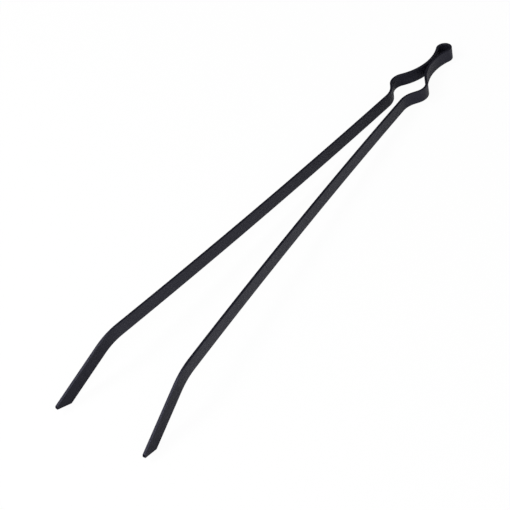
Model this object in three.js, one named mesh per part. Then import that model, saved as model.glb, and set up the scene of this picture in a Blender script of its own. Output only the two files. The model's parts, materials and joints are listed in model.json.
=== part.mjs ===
// Long one-piece spring tongs: one flat steel strip stood on edge and bent into an eye at the head,
// a neck, two finger bows, two waists and two slender shanks that end in down-cranked jaws.
// Millimetres, +Z up, +Y from the jaws to the head, mirror-symmetric about X = 0.
// The tongs stand as they rest on a table: on the two jaw corners and the head's lower edge.
//
// The strip is cut into lengths where it flexes and where its form changes. Each length is a mesh,
// and the group that carries it turns about the Z line through the strip at the cut.

import * as THREE from "three";

const degrees = THREE.MathUtils.degToRad;

// The flat bar.
const STRIP_WIDTH = 16;
const STRIP_THICKNESS = 3.2;

// Bends seen from above, with radii to the middle of the strip.
const EYE_RADIUS = 8.2;
const NECK_RADIUS = 60;
const NECK_OPENING = 1.2; // between the two inner faces where the arms come closest
const NECK_TURN = degrees(66);
const BOW_LEAD = 1.5;
const BOW_RADIUS = 16;
const BOW_TURN = degrees(78);
const BOW_TAIL = 7;
const WAIST_RADIUS = 26;

// The long shanks, which part slowly and curve a little outwards.
const SHANK_SPLAY = degrees(3.5);
const SHANK_FLARE = degrees(3.3);
const SHANK_LENGTH = 450;
const SHANK_FLEX_SHARE = 0.5; // how far along the shank its bending is gathered

// The jaws, cranked downwards in the plane of the strip's broad faces.
const JAW_LEAD = 6;
const CRANK_ANGLE = degrees(25);
const CRANK_INNER_RADIUS = 58;
const JAW_LENGTH = 76; // along the upper edge, from the crank to the nose
const END_SLANT = 13; // how much shorter the lower edge is
const NOSE_HEIGHT = 3;

const CUT_GAP = 0.3;
const ARC_STEP = degrees(4);
const SHANK_STEP = degrees(0.4);
const CRANK_SEGMENTS = 10;
const COATING = { color: 0x242429, roughness: 0.5, metalness: 0.35 };

// The eye turns far enough to bring the two neck bends to their opening.
const NECK_HALF = (NECK_OPENING + STRIP_THICKNESS) / 2;
const EYE_TURN = Math.PI - Math.asin((NECK_RADIUS + NECK_HALF) / (EYE_RADIUS + NECK_RADIUS));
const WAIST_TURN = EYE_TURN - NECK_TURN + BOW_TURN - (Math.PI / 2 - SHANK_SPLAY);

// One stretch of the strip's centreline: its length, and how far its heading turns, anticlockwise
// seen from above.
function straight(length) {
  return { length, turn: 0, step: ARC_STEP };
}

function bend(radius, turn) {
  return { length: radius * Math.abs(turn), turn, step: ARC_STEP };
}

const RIGHT_ARM = joined([
  bend(EYE_RADIUS, -EYE_TURN),
  bend(NECK_RADIUS, NECK_TURN),
  straight(BOW_LEAD),
  bend(BOW_RADIUS, -BOW_TURN),
  straight(BOW_TAIL),
  bend(WAIST_RADIUS, WAIST_TURN),
  { length: SHANK_LENGTH, turn: SHANK_FLARE, step: SHANK_STEP },
]);

// Places along the centreline, measured from the top of the eye.
const ARM_END = RIGHT_ARM[RIGHT_ARM.length - 1].to;
const AT_NECK = EYE_RADIUS * EYE_TURN + NECK_RADIUS * (EYE_TURN - Math.PI / 2);
const AT_WAIST = ARM_END - SHANK_LENGTH;
const AT_SHANK_FLEX = AT_WAIST + SHANK_LENGTH * SHANK_FLEX_SHARE;
const AT_JAW = ARM_END - JAW_LEAD;

// The stretches laid end to end, each with where it starts.
function joined(stretches) {
  let start = { x: 0, y: 0, heading: 0 };
  let from = 0;
  return stretches.map((stretch) => {
    const curvature = stretch.turn / stretch.length;
    const laid = { ...stretch, curvature, start, from, to: from + stretch.length };
    start = travel(start, curvature, stretch.length);
    from = laid.to;
    return laid;
  });
}

// Where a run of even curvature arrives.
function travel(start, curvature, distance) {
  const turn = curvature * distance;
  const chord = turn === 0 ? distance : (2 / curvature) * Math.sin(turn / 2);
  const direction = start.heading + turn / 2;
  return {
    x: start.x + chord * Math.cos(direction),
    y: start.y + chord * Math.sin(direction),
    heading: start.heading + turn,
  };
}

function stationAt(distance) {
  const stretch = RIGHT_ARM.find((s) => distance <= s.to);
  return travel(stretch.start, stretch.curvature, distance - stretch.from);
}

// The centreline's points from one place to another, closer together where it bends.
function stationsBetween(from, to) {
  const stations = [stationAt(from)];
  for (const stretch of RIGHT_ARM) {
    const begin = Math.max(from, stretch.from);
    const end = Math.min(to, stretch.to);
    if (end <= begin) continue;
    const steps = Math.ceil(Math.abs(stretch.curvature * (end - begin)) / stretch.step) || 1;
    for (let i = 1; i <= steps; i += 1) {
      const distance = begin + ((end - begin) * i) / steps - stretch.from;
      stations.push(travel(stretch.start, stretch.curvature, distance));
    }
  }
  return stations;
}

function beside(station, offset) {
  return new THREE.Vector2(
    station.x - offset * Math.sin(station.heading),
    station.y + offset * Math.cos(station.heading),
  );
}

// The strip on edge along a row of stations.
function stripGeometry(stations) {
  const near = stations.map((station) => beside(station, -STRIP_THICKNESS / 2));
  const far = stations.map((station) => beside(station, STRIP_THICKNESS / 2)).reverse();
  const outline = new THREE.Shape([...near, ...far]);
  return new THREE.ExtrudeGeometry(outline, { depth: STRIP_WIDTH, bevelEnabled: false });
}

function armPiece(name, from, to) {
  const geometry = stripGeometry(stationsBetween(from + CUT_GAP / 2, to - CUT_GAP / 2));
  return pieceOf(name, geometry);
}

function headLoop() {
  const right = stationsBetween(0, AT_NECK - CUT_GAP / 2);
  const left = right
    .slice(1)
    .reverse()
    .map(({ x, y, heading }) => ({ x: -x, y, heading: -heading }));
  return pieceOf("head_loop", stripGeometry([...left, ...right]));
}

// The corners of the jaw's side view: X runs on from the shank and Y is the height over its lower edge.
function jawCorners() {
  const along = new THREE.Vector2(Math.cos(CRANK_ANGLE), -Math.sin(CRANK_ANGLE));
  const up = new THREE.Vector2(Math.sin(CRANK_ANGLE), Math.cos(CRANK_ANGLE));
  const centre = new THREE.Vector2(JAW_LEAD, -CRANK_INNER_RADIUS);
  const crankBottom = centre.clone().addScaledVector(up, CRANK_INNER_RADIUS);
  const crankTop = crankBottom.clone().addScaledVector(up, STRIP_WIDTH);
  const toe = crankBottom.clone().addScaledVector(along, JAW_LENGTH - END_SLANT);
  const noseTop = crankTop.clone().addScaledVector(along, JAW_LENGTH);
  const noseBottom = noseTop.clone().addScaledVector(up, -NOSE_HEIGHT);
  return { centre, toe, noseTop, noseBottom };
}

function jawGeometry() {
  const { centre, toe, noseTop, noseBottom } = jawCorners();
  const level = Math.PI / 2;
  const cranked = level - CRANK_ANGLE;
  const outline = new THREE.Shape();
  outline.moveTo(CUT_GAP / 2, 0);
  outline.lineTo(centre.x, 0);
  outline.absarc(centre.x, centre.y, CRANK_INNER_RADIUS, level, cranked, true);
  outline.lineTo(toe.x, toe.y);
  outline.lineTo(noseBottom.x, noseBottom.y);
  outline.lineTo(noseTop.x, noseTop.y);
  outline.absarc(centre.x, centre.y, CRANK_INNER_RADIUS + STRIP_WIDTH, cranked, level, false);
  outline.lineTo(CUT_GAP / 2, STRIP_WIDTH);
  const geometry = new THREE.ExtrudeGeometry(outline, {
    depth: STRIP_THICKNESS,
    bevelEnabled: false,
    curveSegments: CRANK_SEGMENTS,
  });
  return geometry.translate(0, 0, -STRIP_THICKNESS / 2);
}

// The jaw stands upright at the end of the shank and points the way the shank does.
function jaw(name) {
  const mesh = pieceOf(name, jawGeometry());
  const root = stationAt(AT_JAW);
  mesh.position.set(root.x, root.y, 0);
  mesh.rotation.set(Math.PI / 2, 0, root.heading, "ZYX");
  return mesh;
}

function pieceOf(name, geometry) {
  const mesh = new THREE.Mesh(geometry, new THREE.MeshStandardMaterial(COATING));
  mesh.name = name;
  return mesh;
}

// A group with its origin on the strip's centreline, about whose Z line its pieces turn.
function flexure(name, distance, pieces) {
  const { x, y } = stationAt(distance);
  const group = new THREE.Group();
  group.name = name;
  group.position.set(x, y, 0);
  for (const piece of pieces) {
    piece.position.x -= x;
    piece.position.y -= y;
    group.add(piece);
  }
  return group;
}

// One arm, built on the right.
function arm(side) {
  const lower = flexure(`${side}_shank_flex`, AT_SHANK_FLEX, [
    armPiece(`${side}_lower_shank`, AT_SHANK_FLEX, AT_JAW),
    jaw(`${side}_jaw`),
  ]);
  return flexure(`${side}_neck_flex`, AT_NECK, [
    armPiece(`${side}_finger_bow`, AT_NECK, AT_WAIST),
    armPiece(`${side}_upper_shank`, AT_WAIST, AT_SHANK_FLEX),
    lower,
  ]);
}

// How far the tongs tip forwards when the jaws' lower corners and the head share one table.
function restingTilt() {
  const root = stationAt(AT_JAW);
  const { toe } = jawCorners();
  const reach = STRIP_THICKNESS / 2 - (root.y + toe.x * Math.sin(root.heading));
  return Math.atan2(-toe.y, reach);
}

const leftSide = new THREE.Group();
leftSide.scale.x = -1;
leftSide.add(arm("left"));

const level = new THREE.Group();
level.add(headLoop(), arm("right"), leftSide);
level.rotation.x = -restingTilt();

const tongs = new THREE.Group();
tongs.add(level);
tongs.updateMatrixWorld(true);

// The origin is on the table, under the middle of the tongs.
const bounds = new THREE.Box3().setFromObject(tongs, true);
level.position.set(0, -(bounds.min.y + bounds.max.y) / 2, -bounds.min.z);
tongs.updateMatrixWorld(true);

export default tongs;
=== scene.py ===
"""Looks of the long spring tongs: one black-coated steel strip on edge, bent into eye, bows and shanks.

The strip is swept along the same centreline as the CAD model, with rounded edges and no cuts. Each sweep
stands for the CAD nodes that it covers.
Metres, +Z up, +Y from the jaws to the head, mirror-symmetric about X = 0.
"""

import json
import math

import bmesh
import bpy
from mathutils import Matrix, Vector


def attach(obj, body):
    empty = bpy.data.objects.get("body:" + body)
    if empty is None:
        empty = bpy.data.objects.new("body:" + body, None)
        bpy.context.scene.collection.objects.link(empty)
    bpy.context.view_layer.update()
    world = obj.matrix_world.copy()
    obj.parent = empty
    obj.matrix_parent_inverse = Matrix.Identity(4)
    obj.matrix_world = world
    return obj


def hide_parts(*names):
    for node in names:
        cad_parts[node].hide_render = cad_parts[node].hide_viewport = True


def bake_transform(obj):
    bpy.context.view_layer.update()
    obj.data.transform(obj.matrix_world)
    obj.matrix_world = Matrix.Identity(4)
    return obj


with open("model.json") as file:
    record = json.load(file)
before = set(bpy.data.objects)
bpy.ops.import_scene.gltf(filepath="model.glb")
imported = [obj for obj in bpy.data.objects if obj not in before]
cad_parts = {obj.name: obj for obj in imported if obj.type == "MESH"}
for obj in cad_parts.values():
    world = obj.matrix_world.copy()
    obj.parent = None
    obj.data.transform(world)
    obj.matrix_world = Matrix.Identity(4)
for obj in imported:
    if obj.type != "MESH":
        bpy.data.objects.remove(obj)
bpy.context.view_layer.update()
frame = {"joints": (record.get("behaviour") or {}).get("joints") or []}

MM = 0.001
SAME_PLACE = 1e-6 * MM  # places along the strip closer than this are one place

# The flat bar.
STRIP_WIDTH = 16 * MM
STRIP_THICKNESS = 3.2 * MM
EDGE_RADIUS = 0.3 * MM
EDGE_STEPS = 4
EDGE_SUPPORT = 0.2 * MM  # keeps the broad faces flat up to the rounded edges

# Bends seen from above, with radii to the middle of the strip.
EYE_RADIUS = 8.2 * MM
NECK_RADIUS = 60 * MM
NECK_OPENING = 1.2 * MM
NECK_TURN = math.radians(66)
BOW_LEAD = 1.5 * MM
BOW_RADIUS = 16 * MM
BOW_TURN = math.radians(78)
BOW_TAIL = 7 * MM
WAIST_RADIUS = 26 * MM
SHANK_SPLAY = math.radians(3.5)
SHANK_FLARE = math.radians(3.3)
SHANK_LENGTH = 450 * MM

# The jaws, cranked downwards in the plane of the broad faces.
JAW_LEAD = 6 * MM
CRANK_ANGLE = math.radians(25)
CRANK_INNER_RADIUS = 58 * MM
JAW_LENGTH = 76 * MM
END_SLANT = 13 * MM
NOSE_HEIGHT = 3 * MM
NOSE_ROUND = 2 * MM  # how far the nose draws back at its upper edge

# Sweeping.
STATION_STEP = 3 * MM
BEND_STEP = math.radians(2.5)
ROOT_STEPS = 3
CRANK_STEPS = 14
CRANK_SWELL = 0.06 * MM  # how much the inner edge of the crank thickens on each side
JAW_STEPS = 30
SLANT_FROM = 0.375  # the share of the straight jaw after which its rings begin to slant
END_INSET = 0.85  # how far the end's rounding draws in, as a share of the edge radius
SMOOTH_ANGLE = math.radians(38)

# How much the coating mirrors, as the shader's specular level.
SHINE = 0.3
JAW_SHADED_SHINE = 0.16  # painted shade on the broad faces of the jaws: a lower specular level darkens their reflections as a shadowed floor beside them would
JAW_SHADE_GRADES = 4  # steps of painted shade in which the crank's reflections dim from the arms' level to the jaws'

# Sizes of the coating's patterns, in features per metre.
MOTTLING_SCALE = 55.0
WAVES_SCALE = 190.0
PEEL_SCALE = 1000.0

# The floor, and how much of it the camera sees as plain white.
FLOOR_HALF = 6.0
FLOOR_WHITE_SHARE = 0.95
FLOOR_WHITE = 0.995

# The dark card in the surroundings, by the cosine of the angle from its middle.
CARD_EDGE = 0.35
CARD_CORE = 0.9

# The viewpoint. At azimuth 0 the camera looks along +Y, and at 90 degrees it looks along -X.
VIEW_AZIMUTH = math.radians(49.671)
VIEW_ELEVATION = math.radians(43.953)
VIEW_ROLL = math.radians(-17.069)
VIEW_AIM = Vector((0.0041, -0.0715, 0.0205))
VIEW_DISTANCE = 1.4102
LENS = 90.95  # the lens and the sensor are in millimetres
SENSOR_WIDTH = 36

NECK_HALF = (NECK_OPENING + STRIP_THICKNESS) / 2
EYE_TURN = math.pi - math.asin((NECK_RADIUS + NECK_HALF) / (EYE_RADIUS + NECK_RADIUS))
WAIST_TURN = EYE_TURN - NECK_TURN + BOW_TURN - (math.pi / 2 - SHANK_SPLAY)


# ---------------------------------------------------------------- the centreline, as in the CAD


def travel(start, curvature, distance):
    """Where a run of even curvature arrives: (x, y, heading), anticlockwise seen from above."""
    x, y, heading = start
    turn = curvature * distance
    chord = distance if turn == 0 else 2 / curvature * math.sin(turn / 2)
    direction = heading + turn / 2
    return x + chord * math.cos(direction), y + chord * math.sin(direction), heading + turn


def joined(stretches):
    """Stretches (length, turn) laid end to end from the top of the eye."""
    laid = []
    start = (0.0, 0.0, 0.0)
    begin = 0.0
    for length, turn in stretches:
        laid.append({"from": begin, "to": begin + length, "start": start, "curvature": turn / length})
        start = travel(start, turn / length, length)
        begin += length
    return laid


def bend(radius, turn):
    return radius * abs(turn), turn


RIGHT_ARM = joined(
    [
        bend(EYE_RADIUS, -EYE_TURN),
        bend(NECK_RADIUS, NECK_TURN),
        (BOW_LEAD, 0.0),
        bend(BOW_RADIUS, -BOW_TURN),
        (BOW_TAIL, 0.0),
        bend(WAIST_RADIUS, WAIST_TURN),
        (SHANK_LENGTH, SHANK_FLARE),
    ]
)
ARM_END = RIGHT_ARM[-1]["to"]
AT_EYE_END = RIGHT_ARM[0]["to"]
AT_NECK = AT_EYE_END + NECK_RADIUS * (EYE_TURN - math.pi / 2)
AT_WAIST = ARM_END - SHANK_LENGTH
AT_JAW = ARM_END - JAW_LEAD


def station_at(distance):
    stretch = next(s for s in RIGHT_ARM if distance <= s["to"] + SAME_PLACE)
    return travel(stretch["start"], stretch["curvature"], distance - stretch["from"])


def stations_between(begin, end):
    """Stations close enough together for smooth bends and for a strip that flexes smoothly."""
    stations = [station_at(begin)]
    for stretch in RIGHT_ARM:
        low, high = max(begin, stretch["from"]), min(end, stretch["to"])
        if high - low < SAME_PLACE:
            continue
        by_length = (high - low) / STATION_STEP
        by_turn = abs(stretch["curvature"]) * (high - low) / BEND_STEP
        steps = math.ceil(max(by_length, by_turn))
        for i in range(1, steps + 1):
            distance = low + (high - low) * i / steps - stretch["from"]
            stations.append(travel(stretch["start"], stretch["curvature"], distance))
    return stations


# ---------------------------------------------------------------- the plane of the arms


def arms_plane():
    """The matrix that carries the level plane of the arms to where the tongs rest."""
    joint = next(j for j in frame["joints"] if j["name"] == "right_neck_flex")
    normal = -Vector(joint["axis"]).normalized()
    across = Vector((1, 0, 0))
    along = normal.cross(across)
    turn = Matrix((across, along, normal)).transposed()
    x, y, _ = station_at(AT_NECK)
    origin = Vector(joint["pos_m"]) - turn @ Vector((x, y, STRIP_WIDTH / 2))
    return Matrix.Translation(origin) @ turn.to_4x4()


ARMS = arms_plane()


# ---------------------------------------------------------------- the strip's section


def section(inset=0.0):
    """The rounded bar's outline as (offset to the left, height, how much of an edge it is).

    It starts beside the upper left edge and goes over the top and round.
    """
    radius = EDGE_RADIUS - inset
    half = STRIP_THICKNESS / 2
    corners = [
        (half - EDGE_RADIUS, STRIP_WIDTH - EDGE_RADIUS, 0),
        (EDGE_RADIUS - half, STRIP_WIDTH - EDGE_RADIUS, 90),
        (EDGE_RADIUS - half, EDGE_RADIUS, 180),
        (half - EDGE_RADIUS, EDGE_RADIUS, 270),
    ]
    points = []
    for u, h, first in corners:
        start = math.radians(first)
        stop = math.radians(first + 90)
        points.append(beside_corner(u, h, radius, start, -EDGE_SUPPORT))
        for i in range(EDGE_STEPS + 1):
            a = start + (stop - start) * i / EDGE_STEPS
            # how pale the coat is painted here: partly edge wear, partly a painted highlight on the rounded
            # edge
            wear_and_highlight = math.sin(math.pi * i / EDGE_STEPS)
            points.append((u + radius * math.cos(a), h + radius * math.sin(a), wear_and_highlight))
        points.append(beside_corner(u, h, radius, stop, EDGE_SUPPORT))
        if first in (90, 270):
            points += face_points(points[-1][0], rising=first == 270)
    return points


def beside_corner(u, h, radius, angle, past):
    """A point of the flat that meets a rounded corner at an angle. A negative past lies before it."""
    return (
        u + radius * math.cos(angle) - past * math.sin(angle),
        h + radius * math.sin(angle) + past * math.cos(angle),
        0.0,
    )


def face_points(u, rising):
    """Points across a broad face, closer together at the height of the nose."""
    heights = [STRIP_WIDTH * share for share in (0.2, 0.4, 0.6)]
    heights += [STRIP_WIDTH - NOSE_HEIGHT * share for share in (1, 0.75, 0.5)]
    return [(u, h, 0.0) for h in (heights if rising else reversed(heights))]


def close_end(work, ring, coat):
    """Faces straight across the strip, between pairs of points at one height, from the bottom up."""
    count = len(ring)
    top = EDGE_STEPS + 2  # this point and the next are the topmost pair
    for i in range(top + 1 - count // 2, top):
        quad = (i, i + 1, 2 * top - i, 2 * top + 1 - i)
        face = work.faces.new([ring[k % count] for k in quad])
        face.material_index = coat


def sweep(name, rings, coats=None):
    """A closed mesh through rings of points.

    coats numbers the coat that starts at each ring; coats past 0 paint shade by dimming reflections.
    Rounded and narrow faces keep coat 0, but for the painted-shade coat of the cut end, which goes all
    round.
    """
    coats = coats or [0] * len(rings)
    mesh = bpy.data.meshes.new(name)
    work = bmesh.new()
    rows = [[work.verts.new(p) for p in ring] for ring in rings]
    count = len(rows[0])
    for near, far, coat in zip(rows, rows[1:], coats):
        for i in range(count):
            j = (i + 1) % count
            face = work.faces.new((near[i], near[j], far[j], far[i]))
            coated = coat == END_SHADE_COAT or (BROAD[i] and BROAD[j])
            face.material_index = coat if coated else 0
    close_end(work, rows[0], coats[0])
    close_end(work, rows[-1], coats[-1])
    bmesh.ops.recalc_face_normals(work, faces=work.faces)
    work.to_mesh(mesh)
    work.free()
    # the share of paler coat at each point: partly edge wear, partly painted highlight
    edge = mesh.attributes.new("edge", "FLOAT", "POINT")
    edge.data.foreach_set("value", EDGES * len(rings))
    for polygon in mesh.polygons:
        polygon.use_smooth = True
    mesh.set_sharp_from_angle(angle=SMOOTH_ANGLE)
    piece = bpy.data.objects.new(name, mesh)
    bpy.context.scene.collection.objects.link(piece)
    return piece


def level_ring(station):
    x, y, heading = station
    points = []
    for u, h, _ in section():
        points.append(ARMS @ Vector((x - u * math.sin(heading), y + u * math.cos(heading), h)))
    return points


def mirrored(rings, side):
    if side == "right":
        return rings
    return [[Vector((-p.x, p.y, p.z)) for p in ring] for ring in rings]


EDGES = [edge for _, _, edge in section()]
BROAD = [abs(abs(u) - STRIP_THICKNESS / 2) < EDGE_SUPPORT / 2 for u, _, _ in section()]
# the number of the coat that paints shade on the cut end, a coat without reflections
END_SHADE_COAT = JAW_SHADE_GRADES + 1


# ---------------------------------------------------------------- pieces


def strip_piece(name, side, begin, end):
    rings = [level_ring(station) for station in stations_between(begin, end)]
    return sweep(name, mirrored(rings, side))


def head_piece():
    """The eye, from the start of one neck bend over the top to the start of the other."""
    right = stations_between(0, AT_EYE_END)
    left = [(-x, y, -heading) for x, y, heading in reversed(right[1:])]
    return sweep("head_loop", [level_ring(station) for station in left + right])


def crank_frame(angle):
    """Where the lower edge is after turning through angle in the crank, and its two directions."""
    along = Vector((math.cos(angle), -math.sin(angle)))
    up = Vector((math.sin(angle), math.cos(angle)))
    centre = Vector((JAW_LEAD, -CRANK_INNER_RADIUS))
    return centre + up * CRANK_INNER_RADIUS, along, up


def jaw_point(u, along_edge, height):
    """A point of the jaw from its side view: X runs on from the shank, Y is height."""
    x, y, heading = station_at(AT_JAW)
    px = x + along_edge * math.cos(heading) - u * math.sin(heading)
    py = y + along_edge * math.sin(heading) + u * math.cos(heading)
    return ARMS @ Vector((px, py, height))


def end_shape(height):
    """How far the cut end is behind its foremost point: a slant below and a rounded nose on top."""
    nose = STRIP_WIDTH - NOSE_HEIGHT
    slant = END_SLANT * max(0.0, 1 - height / nose)
    rounding = NOSE_ROUND * max(0.0, (height - nose) / NOSE_HEIGHT) ** 2
    return slant + rounding


def crank_ring(share):
    """A ring part of the way round the crank, where the squeezed inner edge is a little thicker."""
    angle = CRANK_ANGLE * share
    base, _, up = crank_frame(angle)
    swell = 2 * CRANK_SWELL / STRIP_THICKNESS * math.sin(math.pi * share)
    ring = []
    for u, h, _ in section():
        spot = base + up * h
        thicker = 1 + swell * (1 - h / STRIP_WIDTH) ** 2
        ring.append(jaw_point(u * thicker, spot.x, spot.y))
    return ring


def straight_ring(reach, slanted, inset=0.0):
    """A ring of the straight jaw, slanted from 0, square, to 1, as the end is cut."""
    base, along, up = crank_frame(CRANK_ANGLE)
    ring = []
    for u, h, _ in section(inset):
        spot = base + along * (reach - end_shape(h) * slanted) + up * h
        ring.append(jaw_point(u, spot.x, spot.y))
    return ring


def jaw_piece(side):
    """The crank, the straight jaw and its slanted end, with painted shade: reflections dimmed from the
    crank on, and none at the cut end, so it shows dark.
    """
    rings = []
    coats = []
    for i in range(ROOT_STEPS):
        rings.append([jaw_point(u, JAW_LEAD * i / ROOT_STEPS, h) for u, h, _ in section()])
        coats.append(0)
    for i in range(CRANK_STEPS + 1):
        rings.append(crank_ring(i / CRANK_STEPS))
        # painted shade: the crank's rings step through coats with ever dimmer reflections
        coats.append(round(JAW_SHADE_GRADES * i / CRANK_STEPS))
    for i in range(1, JAW_STEPS + 1):
        share = i / JAW_STEPS
        slanted = max(0.0, (share - SLANT_FROM) / (1 - SLANT_FROM))
        rings.append(straight_ring((JAW_LENGTH - 2 * EDGE_RADIUS) * share, slanted))
        coats.append(JAW_SHADE_GRADES)
    # painted shade: the rounded cut end takes the coat without reflections, so it shows dark
    for i in range(EDGE_STEPS + 1):
        a = math.radians(90) * i / EDGE_STEPS
        reach = JAW_LENGTH - EDGE_RADIUS * (1 - math.sin(a))
        rings.append(straight_ring(reach, 1.0, inset=EDGE_RADIUS * END_INSET * (1 - math.cos(a))))
        coats.append(END_SHADE_COAT)
    return sweep(f"{side}_jaw", mirrored(rings, side), coats)


# ---------------------------------------------------------------- material


def noise(tree, place, scale, detail):
    """A noise pattern that stays with the piece, as a number at each point."""
    texture = tree.nodes.new("ShaderNodeTexNoise")
    texture.inputs["Scale"].default_value = scale
    texture.inputs["Detail"].default_value = detail
    tree.links.new(place.outputs["Object"], texture.inputs["Vector"])
    return texture.outputs["Fac"]


def bump(tree, height, strength, depth):
    node = tree.nodes.new("ShaderNodeBump")
    node.inputs["Strength"].default_value = strength
    node.inputs["Distance"].default_value = depth
    tree.links.new(height, node.inputs["Height"])
    return node


def coat_colour(tree, mottling):
    """Near-black with a blue cast and faint mottling, paler along the rounded edges: partly edge wear and
    partly a painted highlight where they catch the light.
    """
    colour = tree.nodes.new("ShaderNodeValToRGB")
    darker, lighter = colour.color_ramp.elements
    darker.position = 0.3
    darker.color = (0.0044, 0.0044, 0.0076, 1)
    lighter.position = 0.72
    lighter.color = (0.0074, 0.0073, 0.0118, 1)
    tree.links.new(mottling, colour.inputs["Fac"])

    edge = tree.nodes.new("ShaderNodeAttribute")
    edge.attribute_name = "edge"
    pale_edge_share = tree.nodes.new("ShaderNodeMath")
    pale_edge_share.operation = "MULTIPLY"
    tree.links.new(edge.outputs["Fac"], pale_edge_share.inputs[0])
    tree.links.new(mottling, pale_edge_share.inputs[1])

    # paler coat along the edges, partly edge wear and partly a painted highlight
    wear_and_highlight = tree.nodes.new("ShaderNodeMix")
    wear_and_highlight.data_type = "RGBA"
    wear_and_highlight.inputs["B"].default_value = (0.03, 0.03, 0.036, 1)
    tree.links.new(pale_edge_share.outputs[0], wear_and_highlight.inputs["Factor"])
    tree.links.new(colour.outputs["Color"], wear_and_highlight.inputs["A"])
    return wear_and_highlight.outputs["Result"]


def coating(shine):
    """Satin powder coat, with a fine orange peel over broader waves that also vary its gloss."""
    material = bpy.data.materials.new("black_coated_steel")
    material.use_nodes = True
    tree = material.node_tree
    shader = tree.nodes["Principled BSDF"]
    shader.inputs["Metallic"].default_value = 0.0
    shader.inputs["IOR"].default_value = 1.46
    shader.inputs["Specular IOR Level"].default_value = shine
    shader.inputs["Specular Tint"].default_value = (0.74, 0.74, 1, 1)

    place = tree.nodes.new("ShaderNodeTexCoord")
    mottling = noise(tree, place, MOTTLING_SCALE, detail=5.0)
    waves = noise(tree, place, WAVES_SCALE, detail=2.0)
    peel = noise(tree, place, PEEL_SCALE, detail=2.0)
    tree.links.new(coat_colour(tree, mottling), shader.inputs["Base Color"])

    gloss = tree.nodes.new("ShaderNodeMapRange")
    gloss.inputs["To Min"].default_value = 0.4
    gloss.inputs["To Max"].default_value = 0.54
    tree.links.new(waves, gloss.inputs["Value"])
    tree.links.new(gloss.outputs["Result"], shader.inputs["Roughness"])

    broad = bump(tree, waves, strength=0.4, depth=0.6 * MM)
    fine = bump(tree, peel, strength=0.6, depth=0.4 * MM)
    tree.links.new(broad.outputs["Normal"], fine.inputs["Normal"])
    tree.links.new(fine.outputs["Normal"], shader.inputs["Normal"])
    return material


def floor_material():
    """Matt and pale to light and reflections, and mostly plain white to the camera."""
    material = bpy.data.materials.new("pale_floor")
    material.use_nodes = True
    nodes, links = material.node_tree.nodes, material.node_tree.links
    shader = nodes["Principled BSDF"]
    shader.inputs["Base Color"].default_value = (0.86, 0.86, 0.86, 1)
    shader.inputs["Roughness"].default_value = 0.9
    shader.inputs["Specular IOR Level"].default_value = 0.2
    white = nodes.new("ShaderNodeEmission")
    white.inputs["Strength"].default_value = FLOOR_WHITE

    seen = nodes.new("ShaderNodeLightPath")
    share = nodes.new("ShaderNodeMath")
    share.operation = "MULTIPLY"
    share.inputs[1].default_value = FLOOR_WHITE_SHARE
    links.new(seen.outputs["Is Camera Ray"], share.inputs[0])

    mixed = nodes.new("ShaderNodeMixShader")
    links.new(share.outputs[0], mixed.inputs["Fac"])
    links.new(shader.outputs["BSDF"], mixed.inputs[1])
    links.new(white.outputs["Emission"], mixed.inputs[2])
    links.new(mixed.outputs["Shader"], nodes["Material Output"].inputs["Surface"])
    return material


def studio_floor():
    """A floor that looks nearly shadowless, as the photograph's backdrop does."""
    floor = bpy.data.meshes.new("studio_floor")
    corners = [(x * FLOOR_HALF, y * FLOOR_HALF, 0) for x, y in ((-1, -1), (1, -1), (1, 1), (-1, 1))]
    floor.from_pydata(corners, [], [(0, 1, 2, 3)])
    floor.materials.append(floor_material())
    piece = bpy.data.objects.new("studio_floor", floor)
    bpy.context.scene.collection.objects.link(piece)


# ---------------------------------------------------------------- putting it together


def dress(piece, *nodes, coats):
    for coat in coats:
        piece.data.materials.append(coat)
    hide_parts(*nodes)


def build_arm(side):
    jaw_arm = f"{side}_jaw_arm"

    bow = strip_piece(f"{side}_finger_bow", side, AT_EYE_END, AT_WAIST)
    dress(bow, f"{side}_finger_bow", coats=ARM_COATS)
    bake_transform(bow)

    shank = strip_piece(f"{side}_shank", side, AT_WAIST, AT_JAW)
    dress(shank, f"{side}_upper_shank", f"{side}_lower_shank", coats=ARM_COATS)
    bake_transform(shank)

    jaw = jaw_piece(side)
    dress(jaw, f"{side}_jaw", coats=JAW_COATS_WITH_PAINTED_SHADE)
    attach(jaw, jaw_arm)


# The coats in the order of sweep's numbers: the arms' own, the jaws' grades of painted shade with dimmed
# reflections, and the cut end's painted shade, a coat without reflections.
JAW_COATS_WITH_PAINTED_SHADE = [coating(SHINE + (JAW_SHADED_SHINE - SHINE) * i / JAW_SHADE_GRADES) for i in range(JAW_SHADE_GRADES + 1)]
# painted shade: the cut end's coat, without reflections
JAW_COATS_WITH_PAINTED_SHADE.append(coating(0.0))
ARM_COATS = JAW_COATS_WITH_PAINTED_SHADE[:1]

head = head_piece()
dress(head, "head_loop", coats=ARM_COATS)
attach(head, "head")
build_arm("right")
build_arm("left")
studio_floor()


# ---------------------------------------------------------------- light and camera


def area_light(name, location, size, power):
    """A rectangular light that faces the origin."""
    data = bpy.data.lights.new(name, "AREA")
    data.shape = "RECTANGLE"
    data.size, data.size_y = size
    data.energy = power
    light = bpy.data.objects.new(name, data)
    bpy.context.scene.collection.objects.link(light)
    light.location = location
    light.rotation_mode = "QUATERNION"
    light.rotation_quaternion = (-Vector(location)).to_track_quat("-Z", "Y")


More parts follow.
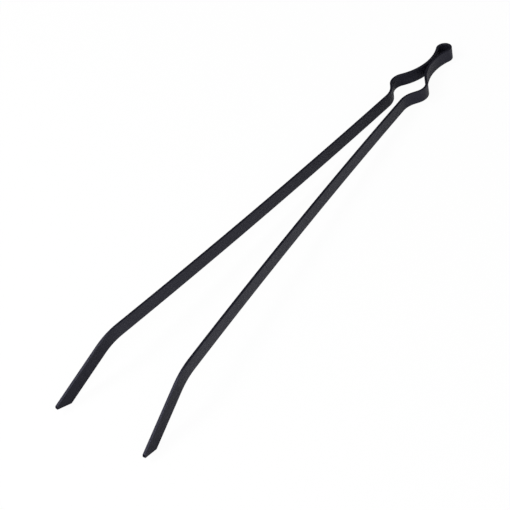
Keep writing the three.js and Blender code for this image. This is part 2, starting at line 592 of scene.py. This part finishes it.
def world_light(strength, card, card_strength):
    """White light from all round, but for a soft-edged dark card towards one side."""
    world = bpy.data.worlds.new("studio")
    world.use_nodes = True
    nodes, links = world.node_tree.nodes, world.node_tree.links
    direction = nodes.new("ShaderNodeTexCoord")
    towards = nodes.new("ShaderNodeVectorMath")
    towards.operation = "DOT_PRODUCT"
    towards.inputs[1].default_value = Vector(card).normalized()
    links.new(direction.outputs["Generated"], towards.inputs[0])

    fade = nodes.new("ShaderNodeMapRange")
    fade.interpolation_type = "SMOOTHSTEP"
    fade.inputs["From Min"].default_value = CARD_EDGE
    fade.inputs["From Max"].default_value = CARD_CORE
    fade.inputs["To Min"].default_value = strength
    fade.inputs["To Max"].default_value = card_strength
    links.new(towards.outputs["Value"], fade.inputs["Value"])

    background = nodes["Background"]
    background.inputs["Color"].default_value = (1, 1, 1, 1)
    links.new(fade.outputs["Result"], background.inputs["Strength"])
    bpy.context.scene.world = world


def camera():
    """The photograph's viewpoint: which way it looks, how far it is rolled, and a long lens."""
    flat = math.cos(VIEW_ELEVATION)
    back = Vector((math.sin(VIEW_AZIMUTH) * flat, -math.cos(VIEW_AZIMUTH) * flat, math.sin(VIEW_ELEVATION)))
    level = Vector((math.cos(VIEW_AZIMUTH), math.sin(VIEW_AZIMUTH), 0))
    over = back.cross(level)
    right = level * math.cos(VIEW_ROLL) + over * math.sin(VIEW_ROLL)
    up = over * math.cos(VIEW_ROLL) - level * math.sin(VIEW_ROLL)
    data = bpy.data.cameras.new("camera")
    data.sensor_width = SENSOR_WIDTH
    data.lens = LENS
    data.clip_end = 20
    view = bpy.data.objects.new("camera", data)
    bpy.context.scene.collection.objects.link(view)
    turn = Matrix((right, up, back)).transposed().to_4x4()
    view.matrix_world = Matrix.Translation(VIEW_AIM + back * VIEW_DISTANCE) @ turn
    bpy.context.scene.camera = view


world_light(strength=0.95, card=(-0.55, 0.47, 0.69), card_strength=0.03)
area_light("key", location=(-1.2, -0.8, 1.75), size=(0.9, 0.9), power=24)
area_light("fill", location=(0.3, -1.9, 1.6), size=(1.4, 1.0), power=30)
camera()
bpy.context.scene.view_settings.view_transform = "Standard"
